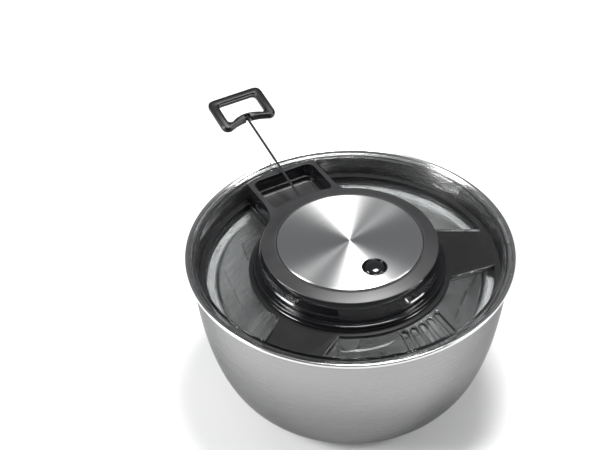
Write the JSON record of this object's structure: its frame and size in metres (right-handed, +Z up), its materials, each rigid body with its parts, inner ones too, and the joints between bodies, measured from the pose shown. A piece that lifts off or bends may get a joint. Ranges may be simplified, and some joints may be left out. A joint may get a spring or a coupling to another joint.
{
  "type": "salad spinner",
  "caption": "Pull-cord salad spinner: steel bowl, slotted clear basket, clear lid with dark arms, brushed hub plate, brake button and a loop handle drawn out on its cord.",
  "frame": {"origin": "centre of the bowl's flat base, on the surface it stands on", "axes": "+Z up; the front is -Y, with the handle's tray at the back left, 120.5 degrees round from +X"},
  "size_m": [0.266, 0.3212, 0.1616],
  "materials": {
    "bowl_steel": "satin brushed",
    "plate_steel": "circular brushed",
    "clear_plastic": "clear, polished",
    "charcoal_plastic": "satin",
    "black_gloss": "polished",
    "handle_plastic": "semi-gloss",
    "seal_rubber": "matt",
    "mechanism_black": "satin",
    "bearing_plastic": "satin",
    "cord_fibre": "braided",
    "small_steel": "bright"
  },
  "bodies": {
    "bowl": {"bowl": "bowl_steel", "bowl_pivot": "bowl_steel"},
    "basket_bush": {"basket_pivot_bush": "bearing_plastic"},
    "basket": {"basket": "clear_plastic"},
    "lid": {"lid_shell": "clear_plastic", "lid_seal": "seal_rubber", "lid_frame": "charcoal_plastic", "hub_cover": "charcoal_plastic", "cord_eyelet": "black_gloss", "hub_collar": "black_gloss", "top_plate": "plate_steel", "button_trim": "black_gloss", "button_spring": "small_steel", "brake_lever_pin": "small_steel", "mechanism_base": "mechanism_black", "drive_shaft": "small_steel", "shaft_washer": "small_steel", "shaft_screw": "small_steel", "base_screw_1": "small_steel", "base_screw_2": "small_steel", "base_screw_3": "small_steel", "cord_inside": "cord_fibre", "pull_cord": "cord_fibre"},
    "carrier": {"output_hub": "mechanism_black", "basket_carrier": "clear_plastic"},
    "drum": {"cord_drum": "bearing_plastic", "cord_winding": "cord_fibre", "recoil_spring": "small_steel", "spring_cover": "bearing_plastic", "clutch_roller_1": "small_steel", "clutch_roller_2": "small_steel", "clutch_roller_3": "small_steel"},
    "cord_end": {"cord_knot": "cord_fibre"},
    "handle": {"pull_handle": "handle_plastic"},
    "button": {"brake_button": "black_gloss"},
    "lever": {"brake_lever": "bearing_plastic", "brake_pad": "seal_rubber"}
  },
  "joints": [
    {"name": "lid_lift", "type": "slide", "parent": "bowl", "child": "lid", "axis": [0, 0, 1], "range_m": [0, 0.3]},
    {"name": "basket_lift", "type": "slide", "parent": "bowl", "child": "basket_bush", "axis": [0, 0, 1], "range_m": [0, 0.15]},
    {"name": "basket_spin", "type": "hinge", "parent": "basket_bush", "child": "basket", "pos_m": [0, 0, 0.0119], "axis": [0, 0, 1], "continuous": true},
    {"name": "carrier_spin", "type": "hinge", "parent": "lid", "child": "carrier", "pos_m": [0, 0, 0.1], "axis": [0, 0, 1], "continuous": true},
    {"name": "cord_pull", "type": "slide", "parent": "lid", "child": "cord_end", "axis": [-0.4925, 0.836, 0.2419], "range_m": [-0.0944, 0.25], "stiffness_N_per_m": 12, "springref_m": -0.15, "deforming": ["pull_cord"]},
    {"name": "drum_spin", "type": "hinge", "parent": "lid", "child": "drum", "pos_m": [0, 0, 0.12], "axis": [0, 0, 1], "range_deg": [-225, 593]},
    {"name": "handle_fold", "type": "hinge", "parent": "cord_end", "child": "handle", "pos_m": [-0.08966, 0.15221, 0.15165], "axis": [0.8616, 0.5075, 0], "range_deg": [-14, 30]},
    {"name": "brake_press", "type": "slide", "parent": "lid", "child": "button", "axis": [0, 0, -1], "range_m": [0, 0.0028], "stiffness_N_per_m": 400, "springref_m": -0.001, "deforming": ["button_spring"]},
    {"name": "lever_rock", "type": "hinge", "parent": "lid", "child": "lever", "pos_m": [0.02695, -0.0446, 0.1115], "axis": [-0.8558, -0.5172, 0], "range_deg": [0, 12]}
  ],
  "couplings": [
    {"joint": "basket_lift", "follows": "lid_lift", "ratio": 0.5},
    {"joint": "carrier_spin", "follows": "basket_spin", "ratio": 1},
    {"joint": "drum_spin", "follows": "cord_pull", "rad_per_m": 41.3},
    {"joint": "lever_rock", "follows": "brake_press", "rad_per_m": 73}
  ]
}
